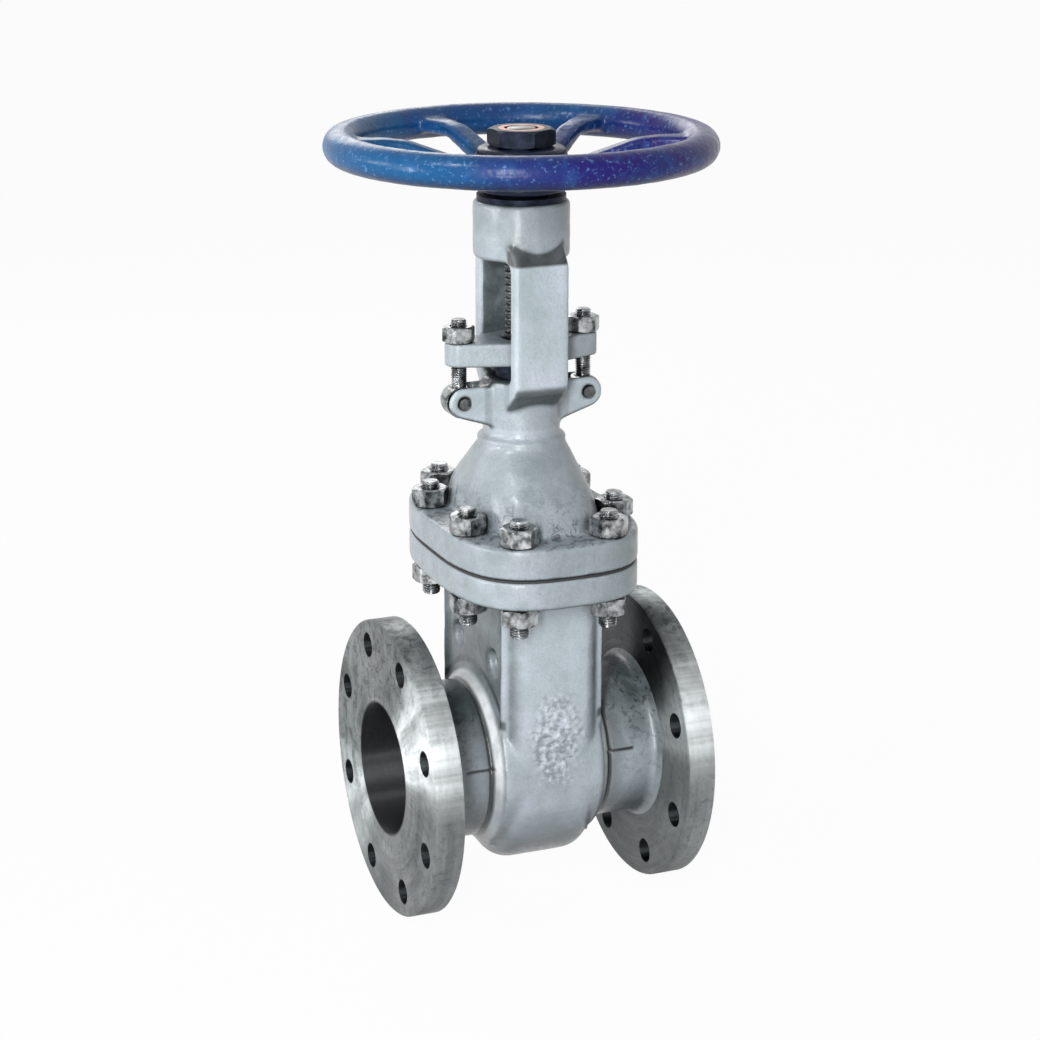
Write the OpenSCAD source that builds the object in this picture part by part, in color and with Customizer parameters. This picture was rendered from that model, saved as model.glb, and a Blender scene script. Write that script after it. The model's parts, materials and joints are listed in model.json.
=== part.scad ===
// Flanged wedge gate valve with a rising stem, an outside screw and a yoke, closed.
// Origin: centre of the inlet flange's face. +X towards the outlet, +Z up the stem.

/* [Pipe ends] */
// Diameter of the bore through the valve
port_d = 102; // [80:1:125]
// Distance from the inlet face to the outlet face
face_to_face = 229; // [215:1:305]
// Outside diameter of the two pipe flanges
flange_d = 229; // [218:1:280]
// Thickness of a pipe flange, with its raised face
flange_t = 24; // [18:1:30]
// Diameter of the raised face
raised_d = 157; // [130:1:160]
// Height of the raised face
raised_h = 2; // [1:0.5:4]
// Diameter of the flange bolt circle
bolt_circle_d = 190.5; // [184:0.5:200]
// Number of flange bolt holes
bolt_count = 8; // [4:4:12]
// Diameter of a flange bolt hole
bolt_hole_d = 19; // [14:0.5:22]
// Wall of the necks behind the flanges
neck_wall = 10; // [7:0.5:13]
// Radius of the fillet between a neck and its flange
neck_fillet = 8; // [4:0.5:12]

/* [Seats and wedge] */
// Width of a seat ring's face
seat_w = 6; // [5:0.5:8]
// Depth of a seat ring in the body
seat_t = 7; // [5:0.5:7]
// Thickness of the wedge at the pipe axis
wedge_t = 36; // [30:1:44]
// Slope of each seating face from upright
seat_angle = 5; // [3:0.5:6]
// Gap between the wedge and a seat ring, closed
seat_gap = 0.3; // [0.2:0.1:0.5]

/* [Body chamber] */
// Room beside the wedge along the pipe, at its thick end
wedge_room = 6.5; // [5:0.5:10]
// Room beside the wedge across the pipe
wedge_side_room = 3; // [2:0.5:6]
// Wall of the chamber
chamber_wall = 9; // [7:0.5:12]
// Radius of the chamber's upright edges
chamber_edge_r = 17; // [13:1:20]
// How far the chamber's round bottom is centred below the pipe axis
chamber_drop = 14; // [6:1:20]
// How far a seat boss reaches out of the chamber's side
seat_boss_h = 9; // [4:0.5:12]

/* [Bonnet joint] */
// Height of the joint's lower face above the pipe axis
joint_z = 169; // [150:1:205]
// Thickness of the body's upper flange
body_flange_t = 22; // [16:1:27]
// Thickness of the bonnet's flange
bonnet_flange_t = 23.5; // [18:0.5:29]
// Thickness of the joint's gasket
gasket_t = 1.5; // [1:0.5:3]
// How square the joint's outline is, from an ellipse at 2
joint_square = 3; // [2.6:0.1:4]
// Distance of the corner studs from the middle, along the pipe
stud_x = 35.5; // [30:0.5:37]
// Distance of the side studs from the middle, across the pipe
stud_side_y = 39.5; // [34:0.5:42]
// Diameter of the bonnet studs
stud_d = 14; // [12:1:16]
// Width across flats of the bonnet nuts
nut_af = 22; // [20:1:24]
// Height of a bonnet nut
nut_h = 14; // [10:1:18]
// Length of stud that stands out above an upper nut
stud_tip = 5; // [3:1:14]
// Length of stud that hangs out below a lower nut
stud_tail = 10; // [4:1:20]

/* [Bonnet and yoke] */
// Half length of the dome's foot along the pipe
dome_x = 49; // [44:1:51]
// Half width of the dome's foot across the pipe
dome_y = 77; // [70:1:79]
// Height of the dome
dome_h = 58; // [48:1:70]
// Outside diameter of the stuffing box
box_d = 58; // [52:1:64]
// Height of the stuffing box above the dome
box_h = 48; // [44:1:58]
// Height of the open window between the stuffing box and the yoke head
window_h = 90; // [75:1:108]
// Outside diameter of the yoke head
head_d = 72; // [66:1:86]
// Height of the yoke head
head_h = 42; // [36:1:50]
// Width of a yoke arm along the pipe
arm_w = 43; // [30:1:44]
// Thickness of a yoke arm
arm_t = 13; // [9:0.5:14]

/* [Gland] */
// Distance from the stem axis to an eyebolt
eyebolt_x = 50; // [48:0.5:56]
// Depth of the eyebolt pins below the stuffing box's mouth
eyebolt_drop = 16; // [14:1:20]
// Diameter of an eyebolt's shank
eyebolt_d = 12; // [10:0.5:13]
// Outside diameter of an eyebolt's eye
eye_d = 24; // [22:1:26]
// Diameter of an eyebolt's pin
eye_pin_d = 9; // [8:0.5:10]
// Height of the gland flange above the stuffing box's mouth
gland_gap = 11; // [8:1:20]
// Thickness of the gland flange
gland_t = 18; // [12:1:20]
// Width across flats of the gland nuts
gland_nut_af = 19; // [18:1:22]
// Height of a gland nut
gland_nut_h = 12; // [10:1:14]

/* [Stem and handwheel] */
// Diameter of the stem
stem_d = 25; // [20:0.5:30]
// Width of the packing round the stem
packing_w = 6.5; // [5:0.5:8]
// Outside diameter of the handwheel
wheel_d = 290; // [240:5:350]
// Width of the rim's section
rim_w = 25; // [18:1:28]
// Height of the rim's centre above the hub's underside
rim_rise = 35; // [30:1:42]
// Diameter of the hub
hub_d = 67; // [60:1:76]
// Height of the hub
hub_h = 34; // [28:1:40]
// Number of spokes
spoke_count = 6; // [3:1:7]
// Direction of the first spoke, in degrees from the outlet
spoke_phase = 42; // [0:1:60]
// Width of a spoke at the rim
spoke_w = 32; // [24:1:36]
// Width of a spoke at the hub
spoke_root_w = 20; // [14:1:24]
// Thickness of a spoke
spoke_t = 11; // [8:1:14]
// Width across flats of the wheel nut
wheel_nut_af = 44; // [40:1:52]
// Height of the wheel nut
wheel_nut_h = 13; // [8:1:16]

/* [Hidden] */
$fn = 96;
fit = 0.05;
body_gap = 0.3;
cx = face_to_face / 2;

// Seats, wedge and chamber, from the bore outwards.
port_r = port_d / 2;
neck_r = port_r + neck_wall;
wedge_r = port_r + seat_w;
wedge_top = wedge_t / 2 + wedge_r * tan(seat_angle);
inner_x = wedge_top + wedge_room;
inner_y = wedge_r + wedge_side_room;
inner_edge_r = chamber_edge_r - chamber_wall;
chamber_x = inner_x + chamber_wall;
chamber_y = inner_y + chamber_wall;
seat_boss_r = chamber_y + 1;

// Bonnet joint, from the chamber outwards.
nut_r = nut_af / 2 / cos(30);
stud_y = chamber_y + nut_r + 1.3;
stud_side_x = max(chamber_x, dome_x) + nut_r - 2.8;
joint_x = stud_side_x + nut_r + 2.6;
joint_y = stud_y + nut_r + 7.2;
stud_at = [[stud_x, stud_y], [-stud_x, stud_y], [-stud_side_x, stud_side_y],
    [-stud_side_x, -stud_side_y], [-stud_x, -stud_y], [stud_x, -stud_y],
    [stud_side_x, -stud_side_y], [stud_side_x, stud_side_y]];

// Heights, from the joint upwards.
gasket_top = joint_z + gasket_t;
gasket_inset = 7;
bonnet_top = gasket_top + bonnet_flange_t;
dome_top = bonnet_top + dome_h;
box_top = dome_top + box_h;
head_z = box_top + window_h;
head_top = head_z + head_h;
eyebolt_z = box_top - eyebolt_drop;
gland_z = box_top + gland_gap;
gland_top = gland_z + gland_t;
hub_z = head_top + 5;
stem_top = hub_z + hub_h + wheel_nut_h;

// Stem, packing and sleeve, from the stem outwards.
stem_r = stem_d / 2;
packing_r = stem_r + packing_w;
packing_z = dome_top + 6;
packing_h = box_h - 18;
sleeve_r = stem_r + 5.5;
sleeve_top_r = stem_r + 4.5;
sleeve_flange_r = sleeve_r + 8.5;
counter_z = head_top - 10;
head_slot_h = 11;
head_slot_w = stem_d + 6;
boss_z = wedge_r - 8;
boss_h = 34;
boss_r = max(wedge_t / 2, head_slot_w / 2 + 2.5);

// Eyebolts and their ears.
ear_t = 5;
web_x = eyebolt_x - eye_d / 2 - 3;
ear_gap = 0.5;
eye_t = eyebolt_d + 1;
arm_out_y = head_d / 2 + 6;
arm_in_y = arm_out_y - arm_t;

// Outline of the bonnet joint: an oval with square shoulders.
function oval(a, hx, hy, n) = [
    hx * sign(cos(a)) * pow(abs(cos(a)), 2 / n),
    hy * sign(sin(a)) * pow(abs(sin(a)), 2 / n)];

module joint_plate(z, h, inset) {
    translate([cx, 0, z])
        linear_extrude(height = h)
            polygon([for (i = [0 : 71])
                oval(i * 5, joint_x - inset, joint_y - inset, joint_square)]);
}

module x_cyl(x, len, r) {
    translate([x, 0, 0])
        rotate([0, 90, 0])
            cylinder(r = r, h = len);
}

module y_cyl(x, z, half, r) {
    translate([x, half, z])
        rotate([90, 0, 0])
            cylinder(r = r, h = 2 * half);
}

module z_cyl(z, h, r) {
    translate([cx, 0, z])
        cylinder(r = r, h = h);
}

module z_tube(z, h, r, hole_r) {
    difference() {
        z_cyl(z, h, r);
        z_cyl(z - 1, h + 2, hole_r);
    }
}

// Hexagonal nut with both faces chamfered, standing on z.
module nut(x, y, z, af, h) {
    c = af * 0.06;
    r = af / 2;
    translate([x, y, z])
        intersection() {
            rotate([0, 0, 30])
                cylinder(r = r / cos(30), h = h, $fn = 6);
            rotate_extrude()
                polygon([[0, 0], [r, 0], [r + 2 * c, c], [r + 2 * c, h - c], [r, h], [0, h]]);
        }
}

// The outlet side as drawn, the inlet side as its mirror image.
module on_side(side) {
    translate([cx, 0, 0])
        mirror([side > 0 ? 0 : 1, 0, 0])
            children();
}

// Quarter of a rectangle's outline whose corner is rounded, from its X side to its Y side.
function round_corner(hx, hy, r) =
    [for (a = [0 : 15 : 90]) [hx - r + r * cos(a), hy - r + r * sin(a)]];
function flip_x(pts) = [for (i = [len(pts) - 1 : -1 : 0]) [-pts[i][0], pts[i][1]]];
function turn_half(pts) = [for (p = pts) [-p[0], -p[1]]];

// Upright block with round vertical edges, centred on the stem axis.
module round_block(hx, hy, r, z, h) {
    top = concat(round_corner(hx, hy, r), flip_x(round_corner(hx, hy, r)));
    translate([cx, 0, z])
        linear_extrude(height = h)
            polygon(concat(top, turn_half(top)));
}

// Round bottom of the chamber: a disc with a round edge.
module round_bottom(hx, hy, r) {
    edge = round_corner(hx, hy, r);
    translate([cx, 0, -chamber_drop])
        rotate([0, 90, 0])
            rotate_extrude()
                polygon(concat([[0, hx]], [for (p = edge) [p[1], p[0]]],
                    [for (i = [len(edge) - 1 : -1 : 0]) [edge[i][1], -edge[i][0]]],
                    [[0, -hx]]));
}

module chamber(hx, hy, r, top) {
    round_block(hx, hy, r, -chamber_drop, top + chamber_drop);
    round_bottom(hx, hy, r);
}

// Half section of one side from the stem axis out: seat boss, neck, fillet and flange.
function pipe_end_outline(back, end, boss) = concat(
    [[0, 0], [seat_boss_r, 0], [seat_boss_r, chamber_x + 1], [neck_r, boss]],
    [for (t = [0 : 15 : 90])
        [neck_r + neck_fillet * (1 - cos(t)), back - neck_fillet * (1 - sin(t))]],
    [[flange_d / 2 - 1, back], [flange_d / 2, back + 1], [flange_d / 2, end - raised_h - 1],
        [flange_d / 2 - 1, end - raised_h], [raised_d / 2, end - raised_h],
        [raised_d / 2 - 0.5, end], [0, end]]);

module pipe_end() {
    rotate([0, 90, 0])
        rotate_extrude()
            polygon(pipe_end_outline(cx - flange_t, cx, chamber_x + seat_boss_h));
}

module flange_holes() {
    for (i = [0 : bolt_count - 1])
        rotate([(i + 0.5) * 360 / bolt_count, 0, 0])
            translate([0, bolt_circle_d / 2, 0])
                x_cyl(-1, face_to_face + 2, bolt_hole_d / 2);
}

module stud_holes(z, h) {
    for (p = stud_at)
        translate([cx + p[0], p[1], z])
            cylinder(d = stud_d + 0.4, h = h);
}

module body() {
    color([0.72, 0.73, 0.76])
        difference() {
            union() {
                on_side(-1)
                    pipe_end();
                on_side(1)
                    pipe_end();
                chamber(chamber_x, chamber_y, chamber_edge_r, joint_z - 1);
                joint_plate(joint_z - body_flange_t, body_flange_t, 0);
            }
            x_cyl(-1, face_to_face + 2, port_r);
            chamber(inner_x, inner_y, inner_edge_r, joint_z + 1);
            x_cyl(cx - inner_x - seat_t, 2 * (inner_x + seat_t), wedge_r + fit);
            flange_holes();
            stud_holes(joint_z - body_flange_t - 1, body_flange_t + 2);
        }
}

// Space between the wedge's two sloping faces, grown by a gap.
module wedge_prism(gap) {
    reach = 2 * wedge_r;
    low = wedge_t / 2 + gap - reach * tan(seat_angle);
    high = wedge_t / 2 + gap + reach * tan(seat_angle);
    translate([cx, reach, 0])
        rotate([90, 0, 0])
            linear_extrude(height = 2 * reach)
                polygon([[-low, -reach], [low, -reach], [high, reach], [-high, reach]]);
}

module seat_ring(side) {
    color([0.62, 0.62, 0.6])
        difference() {
            on_side(side)
                rotate([0, 90, 0])
                    translate([0, 0, wedge_t / 4])
                        cylinder(r = wedge_r, h = inner_x + seat_t - wedge_t / 4);
            x_cyl(-1, face_to_face + 2, port_r);
            wedge_prism(seat_gap);
        }
}

module seat_ring_inlet() {
    seat_ring(-1);
}

module seat_ring_outlet() {
    seat_ring(1);
}

// Two discs joined at the middle, under a boss with a slot for the stem's head.
module wedge() {
    color([0.6, 0.6, 0.58])
        difference() {
            union() {
                difference() {
                    intersection() {
                        wedge_prism(0);
                        x_cyl(cx - wedge_t, 2 * wedge_t, wedge_r);
                    }
                    difference() {
                        x_cyl(cx - 4, 8, wedge_r + 1);
                        x_cyl(cx - 5, 10, wedge_r / 2);
                    }
                }
                z_cyl(boss_z - 16, boss_h + 16, boss_r);
            }
            translate([cx - wedge_t, -head_slot_w / 2 - 0.5, boss_z + boss_h - 22])
                cube([2 * wedge_t, head_slot_w + 1, head_slot_h]);
            translate([cx - wedge_t, -stem_r + 2, boss_z + boss_h - 22])
                cube([2 * wedge_t, stem_d - 4, 30]);
        }
}

module stem() {
    slot_z = boss_z + boss_h - 22;
    color([0.7, 0.68, 0.65]) {
        z_cyl(boss_z + boss_h + body_gap, stem_top - boss_z - boss_h - body_gap, stem_r);
        z_cyl(slot_z + 1, boss_h - 10, stem_r - 2.5);
        translate([cx, 0, slot_z + head_slot_h / 2])
            cube([wedge_t - 8, head_slot_w, head_slot_h - 1], center = true);
    }
}

module dome_slice(hx, hy, z, square) {
    translate([cx, 0, z])
        linear_extrude(height = 1)
            polygon([for (i = [0 : 47]) oval(i * 7.5, hx, hy, square)]);
}

// Square-shouldered foot that draws in to the round stuffing box.
module dome(in) {
    top_r = box_d / 2 + 2;
    hull() {
        dome_slice(dome_x - in, dome_y - in, bonnet_top - 2, 2.7);
        dome_slice(dome_x - 1.5 - in, dome_y - 3 - in, bonnet_top + dome_h * 0.17, 2.7);
        dome_slice(dome_x * 0.91 - in, dome_y * 0.86 - in, bonnet_top + dome_h * 0.39, 2.6);
        dome_slice(dome_x * 0.8 - in, dome_y * 0.68 - in, bonnet_top + dome_h * 0.64, 2.4);
        dome_slice(top_r + 4 - in, top_r + 7 - in, bonnet_top + dome_h * 0.85, 2.2);
        dome_slice(top_r - in, top_r - in, dome_top - 1 - in / 2, 2);
    }
}

// One arm in the plane across the pipe: a foot, an upright and a shoulder on the head.
module yoke_arm(side) {
    foot_y = box_d / 2;
    translate([cx - arm_w / 2, 0, 0])
        rotate([90, 0, 90])
            linear_extrude(height = arm_w)
                polygon([[side * 17, box_top - 24], [side * (foot_y - 1), box_top - 18],
                    [side * (arm_out_y - 4), box_top - 9], [side * arm_out_y, box_top - 2],
                    [side * arm_out_y, head_z - 1], [side * (head_d / 2 - 10), head_z + 19],
                    [side * 22, head_z + 19], [side * 22, head_z], [side * (arm_in_y - 5), head_z],
                    [side * arm_in_y, head_z - 5], [side * arm_in_y, box_top + 4],
                    [side * (arm_in_y - 4), box_top], [side * 17, box_top]]);
}

// Lug beside the stuffing box that carries one end of an eyebolt's pin.
module eye_ear(side, y) {
    root = 16;
    translate([cx + side * eyebolt_x, y, eyebolt_z])
        rotate([90, 0, 0])
            cylinder(r = eye_d / 2, h = ear_t);
    translate([cx, y, eyebolt_z])
        rotate([90, 0, 0])
            linear_extrude(height = ear_t)
                polygon([[side * root, -eye_d], [side * (eyebolt_x + 2), -eye_d / 2],
                    [side * eyebolt_x, eye_d / 2], [side * root, eye_d / 2]]);
}

module bonnet() {
    color([0.72, 0.73, 0.76])
        difference() {
            union() {
                joint_plate(gasket_top, bonnet_flange_t, 0);
                dome(0);
                z_cyl(dome_top - 8, box_h + 8, box_d / 2);
                z_cyl(dome_top - 3, 5, box_d / 2 + 4);
                for (s = [-1, 1]) {
                    yoke_arm(s);
                    eye_ear(s, eye_t / 2 + ear_gap + ear_t);
                    eye_ear(s, -eye_t / 2 - ear_gap);
                }
                translate([cx - web_x, -eye_t / 2 - 1, eyebolt_z - eye_d / 2 - 2])
                    cube([2 * web_x, eye_t + 2, eye_d]);
                z_cyl(head_z, head_h, head_d / 2);
            }
            dome(chamber_wall);
            round_block(inner_x, inner_y, inner_edge_r, gasket_top - 1, bonnet_flange_t);
            z_cyl(dome_top - 30, 80, stem_r + body_gap);
            z_cyl(packing_z, box_h, packing_r + 0.1);
            z_cyl(head_z - 1, head_h + 2, sleeve_r + fit);
            z_cyl(counter_z, head_h, sleeve_flange_r + body_gap);
            for (s = [-1, 1])
                y_cyl(cx + s * eyebolt_x, eyebolt_z, 30, eye_pin_d / 2 + fit);
            stud_holes(gasket_top - 1, bonnet_flange_t + 2);
        }
}

module bonnet_gasket() {
    color([0.08, 0.08, 0.09])
        difference() {
            joint_plate(joint_z, gasket_t, 1);
            round_block(inner_x + gasket_inset, inner_y + gasket_inset, inner_edge_r + gasket_inset,
                joint_z - 1, gasket_t + 2);
            stud_holes(joint_z - 1, gasket_t + 2);
        }
}

module stem_packing() {
    color([0.15, 0.15, 0.16])
        z_tube(packing_z, packing_h, packing_r, stem_r + body_gap);
}

module gland_follower() {
    low = packing_z + packing_h;
    color([0.6, 0.6, 0.58])
        difference() {
            union() {
                z_cyl(low, gland_z - low, packing_r);
                z_cyl(gland_z - 6, 6, packing_r + 4);
            }
            z_cyl(low - 1, gland_gap + box_h, stem_r + body_gap);
        }
}

// Plate with a round middle and two round ends, joined by straight tangents.
module gland_flange() {
    mid_r = packing_r + 8;
    end_r = eyebolt_d / 2 + 4.5;
    a = acos((mid_r - end_r) / eyebolt_x);
    color([0.68, 0.69, 0.71])
        difference() {
            translate([cx, 0, gland_z]) {
                cylinder(r = mid_r, h = gland_t);
                for (s = [-1, 1]) {
                    translate([s * eyebolt_x, 0, 0])
                        cylinder(r = end_r, h = gland_t);
                    linear_extrude(height = gland_t)
                        polygon([[0, 0], [s * mid_r * cos(a), mid_r * sin(a)],
                            [s * (eyebolt_x + end_r * cos(a)), end_r * sin(a)],
                            [s * eyebolt_x, 0],
                            [s * (eyebolt_x + end_r * cos(a)), -end_r * sin(a)],
                            [s * mid_r * cos(a), -mid_r * sin(a)]]);
                }
            }
            z_cyl(gland_z - 1, gland_t + 2, stem_r + 2);
            for (s = [-1, 1])
                translate([cx + s * eyebolt_x, 0, gland_z - 1])
                    cylinder(r = eyebolt_d / 2 + 0.5, h = gland_t + 2);
        }
}

module eyebolt(side) {
    color([0.75, 0.75, 0.76])
        difference() {
            union() {
                y_cyl(cx + side * eyebolt_x, eyebolt_z, eye_t / 2, eye_d / 2);
                translate([cx + side * eyebolt_x, 0, eyebolt_z])
                    cylinder(d = eyebolt_d, h = gland_top + gland_nut_h + 5 - eyebolt_z);
            }
            y_cyl(cx + side * eyebolt_x, eyebolt_z, eye_t, eye_pin_d / 2 + fit);
        }
}

module eyebolt_inlet() {
    eyebolt(-1);
}

module eyebolt_outlet() {
    eyebolt(1);
}

module eyebolt_pin(side) {
    color([0.7, 0.7, 0.7])
        y_cyl(cx + side * eyebolt_x, eyebolt_z, eye_t / 2 + ear_gap + ear_t + 2,
            eye_pin_d / 2);
}

module eyebolt_pin_inlet() {
    eyebolt_pin(-1);
}

module eyebolt_pin_outlet() {
    eyebolt_pin(1);
}

module gland_nut(side) {
    color([0.78, 0.78, 0.79])
        difference() {
            nut(cx + side * eyebolt_x, 0, gland_top, gland_nut_af, gland_nut_h);
            translate([cx + side * eyebolt_x, 0, gland_z])
                cylinder(d = eyebolt_d + 2 * fit, h = gland_t + gland_nut_h + 2);
        }
}

module gland_nut_inlet() {
    gland_nut(-1);
}

module gland_nut_outlet() {
    gland_nut(1);
}

// A stud with its upper and lower nuts made up tight.
module bonnet_stud(i) {
    p = stud_at[i - 1];
    low = joint_z - body_flange_t - nut_h;
    color([0.75, 0.75, 0.76]) {
        translate([cx + p[0], p[1], low - stud_tail])
            cylinder(d = stud_d, h = bonnet_top + nut_h - low + stud_tail + stud_tip);
        nut(cx + p[0], p[1], low, nut_af, nut_h);
        nut(cx + p[0], p[1], bonnet_top, nut_af, nut_h);
    }
}

module bonnet_stud_1() {
    bonnet_stud(1);
}

module bonnet_stud_2() {
    bonnet_stud(2);
}

module bonnet_stud_3() {
    bonnet_stud(3);
}

module bonnet_stud_4() {
    bonnet_stud(4);
}

module bonnet_stud_5() {
    bonnet_stud(5);
}

module bonnet_stud_6() {
    bonnet_stud(6);
}

module bonnet_stud_7() {
    bonnet_stud(7);
}

module bonnet_stud_8() {
    bonnet_stud(8);
}

// Threaded sleeve that the handwheel turns and the stem climbs through.
module yoke_sleeve() {
    color([0.72, 0.45, 0.36])
        difference() {
            union() {
                z_cyl(head_z + 1, head_h, sleeve_r);
                z_cyl(counter_z + body_gap, 6, sleeve_flange_r);
                z_cyl(counter_z + body_gap, hub_z - counter_z - body_gap, sleeve_r + 1);
                z_cyl(counter_z + 1, stem_top - counter_z - 1, sleeve_top_r);
            }
            z_cyl(head_z, stem_top, stem_r + 0.08);
        }
}

// Ring that screws into the head and holds the sleeve's flange down.
module sleeve_retainer() {
    low = counter_z + 6 + 2 * body_gap;
    color([0.16, 0.16, 0.17])
        difference() {
            union() {
                z_cyl(low, head_top + 4 - low, sleeve_flange_r + body_gap - fit);
                z_cyl(head_top, 4, head_d / 2 - 3);
            }
            z_cyl(low - 1, head_h, sleeve_r + 1 + body_gap);
        }
}

// A spoke along +X: a bar that rises from the hub, flat and flared where it meets the rim.
module spoke() {
    rim_r = wheel_d / 2 - rim_w / 2;
    hub_r = hub_d / 2;
    root_z = hub_z + hub_h / 2 - 6;
    top_z = hub_z + rim_rise - spoke_t / 2;
    flare = rim_r - 42;
    intersection() {
        translate([0, spoke_w, 0])
            rotate([90, 0, 0])
                linear_extrude(height = 2 * spoke_w)
                    polygon([[hub_r - 4, root_z], [hub_r + 12, root_z + 1],
                        [rim_r - 44, top_z - 1], [rim_r - 30, top_z], [rim_r, top_z],
                        [rim_r, top_z + spoke_t], [rim_r - 34, top_z + spoke_t],
                        [rim_r - 50, top_z + spoke_t - 2], [hub_r + 8, root_z + spoke_t + 2],
                        [hub_r - 4, root_z + spoke_t + 4]]);
        translate([0, 0, hub_z])
            linear_extrude(height = 2 * hub_h)
                polygon(concat(
                    [for (i = [0 : 6]) let (t = i / 6)
                        [flare + 42 * t,
                            -spoke_root_w / 2 + 2 - (spoke_w / 2 - spoke_root_w / 2 + 2) * t * t]],
                    [for (i = [6 : -1 : 0]) let (t = i / 6)
                        [flare + 42 * t,
                            spoke_root_w / 2 - 2 + (spoke_w / 2 - spoke_root_w / 2 + 2) * t * t]],
                    [[0, spoke_root_w / 2], [0, -spoke_root_w / 2]]));
    }
}

module handwheel() {
    color([0.12, 0.2, 0.55])
        difference() {
            translate([cx, 0, 0])
                union() {
                    translate([0, 0, hub_z + rim_rise])
                        rotate_extrude()
                            translate([wheel_d / 2 - rim_w / 2, 0])
                                circle(d = rim_w);
                    translate([0, 0, hub_z])
                        rotate_extrude()
                            polygon([[0, 0], [hub_d / 2 - 2, 0], [hub_d / 2, 2],
                                [hub_d / 2, hub_h - 2], [hub_d / 2 - 2, hub_h], [0, hub_h]]);
                    for (i = [0 : spoke_count - 1])
                        rotate([0, 0, spoke_phase + i * 360 / spoke_count])
                            spoke();
                }
            z_cyl(hub_z - 1, hub_h + 2, sleeve_top_r + fit);
        }
}

module handwheel_nut() {
    color([0.12, 0.12, 0.13])
        difference() {
            nut(cx, 0, hub_z + hub_h, wheel_nut_af, wheel_nut_h);
            z_cyl(hub_z, 2 * hub_h, sleeve_top_r + fit);
        }
}

body();
seat_ring_inlet();
seat_ring_outlet();
wedge();
stem();
bonnet();
bonnet_gasket();
stem_packing();
gland_follower();
gland_flange();
eyebolt_inlet();
eyebolt_outlet();
eyebolt_pin_inlet();
eyebolt_pin_outlet();
gland_nut_inlet();
gland_nut_outlet();
bonnet_stud_1();
bonnet_stud_2();
bonnet_stud_3();
bonnet_stud_4();
bonnet_stud_5();
bonnet_stud_6();
bonnet_stud_7();
bonnet_stud_8();
yoke_sleeve();
sleeve_retainer();
handwheel();
handwheel_nut();
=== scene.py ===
"""Looks of the flanged wedge gate valve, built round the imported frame.

Metres, X along the pipe, Z up the stem."""
import json
import math
import random

import bmesh
import bpy
import numpy as np
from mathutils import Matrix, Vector, noise

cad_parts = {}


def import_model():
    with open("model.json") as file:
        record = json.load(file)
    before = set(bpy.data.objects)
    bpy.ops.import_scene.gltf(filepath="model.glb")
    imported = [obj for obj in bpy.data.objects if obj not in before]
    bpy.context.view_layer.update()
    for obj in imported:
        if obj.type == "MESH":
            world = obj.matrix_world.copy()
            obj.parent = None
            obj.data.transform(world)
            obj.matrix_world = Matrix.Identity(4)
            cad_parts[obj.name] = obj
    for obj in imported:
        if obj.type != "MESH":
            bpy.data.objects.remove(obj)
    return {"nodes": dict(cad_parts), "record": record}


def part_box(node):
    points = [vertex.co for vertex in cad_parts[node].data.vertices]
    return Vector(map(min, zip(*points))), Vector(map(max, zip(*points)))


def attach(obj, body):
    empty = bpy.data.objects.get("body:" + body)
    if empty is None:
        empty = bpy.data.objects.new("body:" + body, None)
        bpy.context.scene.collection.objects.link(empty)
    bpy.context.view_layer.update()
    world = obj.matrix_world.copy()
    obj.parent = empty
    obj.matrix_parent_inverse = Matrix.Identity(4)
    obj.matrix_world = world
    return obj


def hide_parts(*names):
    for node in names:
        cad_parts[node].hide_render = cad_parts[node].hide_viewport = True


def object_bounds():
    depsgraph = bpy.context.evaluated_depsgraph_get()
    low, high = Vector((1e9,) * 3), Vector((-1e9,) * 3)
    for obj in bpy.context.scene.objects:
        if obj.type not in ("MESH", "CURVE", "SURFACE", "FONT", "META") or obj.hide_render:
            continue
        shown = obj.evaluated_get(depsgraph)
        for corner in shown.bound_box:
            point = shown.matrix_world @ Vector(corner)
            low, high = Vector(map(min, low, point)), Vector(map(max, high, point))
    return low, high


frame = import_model()
cad_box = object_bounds()
nodes = frame["nodes"]

# ---------------------------------------------------------------- sizes


def centre(node):
    low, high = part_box(node)
    return (low + high) / 2


def size(node):
    low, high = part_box(node)
    return high - low


MM = 0.001

# Read from the frame
AXIS_X = centre("stem").x
PIPE_LENGTH = size("body").x
JOINT_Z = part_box("bonnet_gasket")[0].z
STUDS = [f"bonnet_stud_{i}" for i in range(1, 9)]
NUT_WIDTH = size(STUDS[0]).y

# Sizes within a node, which the frame doesn't give: the pipe's flanges, the bore and the necks
FLANGE_T = 24 * MM
PORT_R = 51 * MM
BOLT_COUNT = 8
BOLT_CIRCLE_R = 95.25 * MM
BOLT_HOLE_R = 9.5 * MM
NECK_R = 61 * MM
SEAT_RING_R = 57.3 * MM
SEAT_FLOOR_X = 37.5 * MM
SEAT_X = AXIS_X - SEAT_FLOOR_X + 1 * MM

# The chamber and the seat bosses on its sides
CHAMBER_INNER_Y = 60.5 * MM
CHAMBER_DROP = 14 * MM
MOUTH_X = 30.5 * MM
MOUTH_EDGE_R = 8 * MM
BOSS_R = 73 * MM
BOSS_OUT = 44 * MM
BODY_FLANGE_LOW = JOINT_Z - 22 * MM

# Behind the turned flanges' backs: where the casting meets them, and where the bore's wall starts within them
SEAM = 0.05 * MM
WALL_START = 0.03 * MM

# The bonnet, its yoke and what is on it
BONNET_TOP = JOINT_Z + 25 * MM
DOME_TOP = 262 * MM
ARM_FOOT_TOP = 340 * MM
HEAD_R = 36 * MM
HEAD_Z = 390 * MM
NUT_H = 14 * MM
STUD_R = 7 * MM
EYEBOLT_R = 6 * MM
STEM_R = 12.5 * MM
STEM_PITCH = 5 * MM
THREAD_LOW = 332 * MM

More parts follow.
